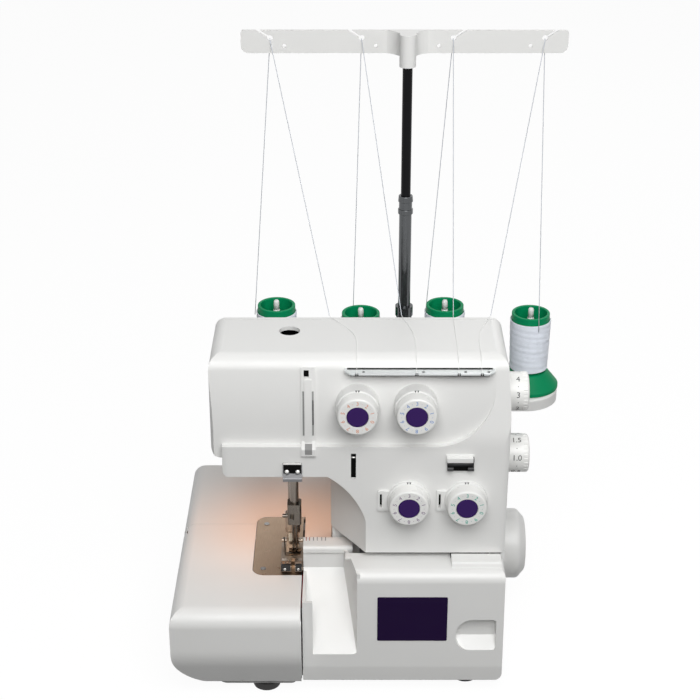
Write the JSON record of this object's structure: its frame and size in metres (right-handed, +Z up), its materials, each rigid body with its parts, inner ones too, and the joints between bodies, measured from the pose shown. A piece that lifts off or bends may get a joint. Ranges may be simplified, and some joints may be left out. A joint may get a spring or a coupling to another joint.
{
  "type": "serger overlock sewing machine",
  "caption": "Overlock sewing machine with bed, arm, hinged looper cover, tension dials, hand wheel, spool stand and telescopic thread pole; it trims and overcasts fabric edges.",
  "frame": {"origin": "bottom centre of the whole machine, on the table under its feet", "axes": "+Z up, +Y to the rear, +X to the hand wheel side"},
  "size_m": [0.3106, 0.231, 0.4876],
  "materials": {
    "white_casing": "satin white moulded plastic",
    "white_dial": "white moulded dial",
    "violet_cap": "violet disc",
    "bright_steel": "ground steel",
    "guide_metal": "bent sheet steel",
    "cast_frame": "die cast",
    "pressed_base": "painted steel sheet",
    "black_rubber": "soft rubber",
    "black_plastic": "moulded",
    "red_plastic": "red lever",
    "lamp_glass": "frosted lens",
    "pole_black": "gloss black tube",
    "pole_steel": "dark chromed tube",
    "spool_green": "green moulded spool",
    "pin_white": "moulded pin",
    "thread_white": "wound sewing thread"
  },
  "bodies": {
    "root": {"rubber_feet": "black_rubber", "base_plate": "pressed_base", "main_frame": "cast_frame", "front_casing": "white_casing", "rear_casing": "white_casing", "bed_cover": "white_casing", "cloth_plate_hinge_pin": "bright_steel", "casing_screws": "bright_steel", "take_up_cover": "white_casing", "thread_guide_plate": "guide_metal", "tension_thread_guide": "guide_metal", "needle_thread_guide": "guide_metal", "shaft_bearings": "bright_steel", "drive_belt": "black_rubber", "motor": "pressed_base", "tension_caps": "violet_cap", "tension_discs": "bright_steel", "presser_spring": "bright_steel", "needle_plate": "bright_steel", "lower_knife": "bright_steel", "knife_release_lever": "red_plastic", "sewing_lamp": "lamp_glass", "power_inlet": "black_plastic", "spool_stand": "white_casing", "spool_pins": "pin_white", "pole_lower": "pole_steel", "spool_cores": "spool_green", "spool_packs": "thread_white", "spool_windings": "thread_white", "sewing_threads": "thread_white"},
    "cloth_plate": {"cloth_plate": "white_casing"},
    "looper_cover_rod": {"looper_cover_hinge_rod": "bright_steel"},
    "looper_cover": {"looper_cover": "white_casing"},
    "handwheel": {"handwheel": "white_casing", "main_shaft": "bright_steel", "handwheel_pulley": "black_plastic"},
    "motor_pulley": {"motor_pulley": "black_plastic"},
    "stitch_length_dial": {"stitch_length_dial": "white_dial"},
    "differential_dial": {"differential_dial": "white_dial"},
    "needle_bar": {"needle_bar": "bright_steel", "needle_clamp": "bright_steel", "needles": "bright_steel"},
    "presser_bar": {"presser_bar": "bright_steel", "presser_foot": "bright_steel"},
    "pressure_screw": {"pressure_screw": "bright_steel"},
    "presser_lifter": {"presser_lifter": "black_plastic"},
    "feed_dogs": {"feed_dogs": "bright_steel"},
    "upper_looper": {"upper_looper": "bright_steel"},
    "lower_looper": {"lower_looper": "bright_steel"},
    "upper_knife": {"upper_knife": "bright_steel"},
    "take_up_lever": {"take_up_lever": "bright_steel"},
    "power_switch": {"power_switch": "black_plastic"},
    "pole_middle": {"pole_middle": "pole_steel"},
    "pole_upper": {"pole_upper": "pole_black", "thread_guide_bar": "white_casing"},
    "tension_dial_1": {"tension_dial_1": "white_dial"},
    "tension_dial_2": {"tension_dial_2": "white_dial"},
    "tension_dial_3": {"tension_dial_3": "white_dial"},
    "tension_dial_4": {"tension_dial_4": "white_dial"}
  },
  "joints": [
    {"name": "cloth_plate_swing", "type": "hinge", "parent": "root", "child": "cloth_plate", "pos_m": [-0.1503, 0.01135, 0.06], "axis": [0, 0, 1], "range_deg": [-80, 0]},
    {"name": "looper_cover_slide", "type": "slide", "parent": "root", "child": "looper_cover_rod", "axis": [1, 0, 0], "range_m": [0, 0.004]},
    {"name": "looper_cover_tilt", "type": "hinge", "parent": "looper_cover_rod", "child": "looper_cover", "pos_m": [0.0227, -0.091, 0.015], "axis": [1, 0, 0], "range_deg": [0, 90]},
    {"name": "handwheel_turn", "type": "hinge", "parent": "root", "child": "handwheel", "pos_m": [0.1027, 0.0225, 0.063], "axis": [1, 0, 0], "continuous": true},
    {"name": "motor_turn", "type": "hinge", "parent": "root", "child": "motor_pulley", "pos_m": [0.0857, 0.0725, 0.11], "axis": [1, 0, 0], "continuous": true},
    {"name": "needle_bar_stroke", "type": "slide", "parent": "root", "child": "needle_bar", "axis": [0, 0, 1], "range_m": [-0.01, 0.016]},
    {"name": "upper_looper_swing", "type": "hinge", "parent": "root", "child": "upper_looper", "pos_m": [0.0167, -0.0575, 0.06], "axis": [0, 1, 0], "range_deg": [-5, 8]},
    {"name": "lower_looper_swing", "type": "hinge", "parent": "root", "child": "lower_looper", "pos_m": [0.0127, -0.0575, 0.034], "axis": [0, 1, 0], "range_deg": [-8, 5]},
    {"name": "upper_knife_stroke", "type": "slide", "parent": "root", "child": "upper_knife", "axis": [0, 0, 1], "range_m": [-0.002, 0.0032]},
    {"name": "take_up_swing", "type": "hinge", "parent": "root", "child": "take_up_lever", "pos_m": [-0.0483, -0.0595, 0.232], "axis": [1, 0, 0], "range_deg": [-14, 8.75]},
    {"name": "feed_dog_travel", "type": "slide", "parent": "root", "child": "feed_dogs", "axis": [0, 1, 0], "range_m": [-0.0016, 0.001]},
    {"name": "presser_lifter_swing", "type": "hinge", "parent": "root", "child": "presser_lifter", "pos_m": [-0.0773, -0.0035, 0.207], "axis": [1, 0, 0], "range_deg": [0, 25]},
    {"name": "presser_bar_lift", "type": "slide", "parent": "root", "child": "presser_bar", "axis": [0, 0, 1], "range_m": [0, 0.006]},
    {"name": "pressure_screw_turn", "type": "hinge", "parent": "root", "child": "pressure_screw", "pos_m": [-0.0633, -0.0185, 0.249], "axis": [0, 0, 1], "range_deg": [-180, 180]},
    {"name": "tension_dial_1_turn", "type": "hinge", "parent": "root", "child": "tension_dial_1", "pos_m": [-0.0118, -0.0775, 0.242], "axis": [0, -1, 0], "range_deg": [-216, 108]},
    {"name": "tension_dial_2_turn", "type": "hinge", "parent": "root", "child": "tension_dial_2", "pos_m": [0.0317, -0.0775, 0.242], "axis": [0, -1, 0], "range_deg": [-216, 108]},
    {"name": "tension_dial_3_turn", "type": "hinge", "parent": "root", "child": "tension_dial_3", "pos_m": [0.0271, -0.0775, 0.1645], "axis": [0, -1, 0], "range_deg": [-216, 108]},
    {"name": "tension_dial_4_turn", "type": "hinge", "parent": "root", "child": "tension_dial_4", "pos_m": [0.0707, -0.0775, 0.1645], "axis": [0, -1, 0], "range_deg": [-216, 108]},
    {"name": "stitch_length_turn", "type": "hinge", "parent": "root", "child": "stitch_length_dial", "pos_m": [0.1027, -0.0325, 0.234], "axis": [1, 0, 0], "range_deg": [-120, 60]},
    {"name": "differential_turn", "type": "hinge", "parent": "root", "child": "differential_dial", "pos_m": [0.1027, -0.0325, 0.18], "axis": [1, 0, 0], "range_deg": [-60, 120]},
    {"name": "power_switch_rock", "type": "hinge", "parent": "root", "child": "power_switch", "pos_m": [0.0977, 0.0905, 0.074], "axis": [0, 1, 0], "range_deg": [-12, 0]},
    {"name": "pole_upper_slide", "type": "slide", "parent": "root", "child": "pole_upper", "axis": [0, 0, 1], "range_m": [-0.14, 0], "deforming": ["sewing_threads"]},
    {"name": "pole_middle_slide", "type": "slide", "parent": "root", "child": "pole_middle", "axis": [0, 0, 1], "range_m": [-0.07, 0]}
  ],
  "couplings": [
    {"joint": "motor_turn", "follows": "handwheel_turn", "ratio": 2.2222},
    {"joint": "upper_looper_swing", "follows": "needle_bar_stroke", "rad_per_m": 8.7266},
    {"joint": "lower_looper_swing", "follows": "needle_bar_stroke", "rad_per_m": -8.7266},
    {"joint": "upper_knife_stroke", "follows": "needle_bar_stroke", "ratio": 0.2},
    {"joint": "take_up_swing", "follows": "needle_bar_stroke", "rad_per_m": -15.272},
    {"joint": "feed_dog_travel", "follows": "needle_bar_stroke", "ratio": -0.1},
    {"joint": "presser_lifter_swing", "follows": "presser_bar_lift", "rad_per_m": 72.722},
    {"joint": "pole_middle_slide", "follows": "pole_upper_slide", "ratio": 0.5}
  ]
}
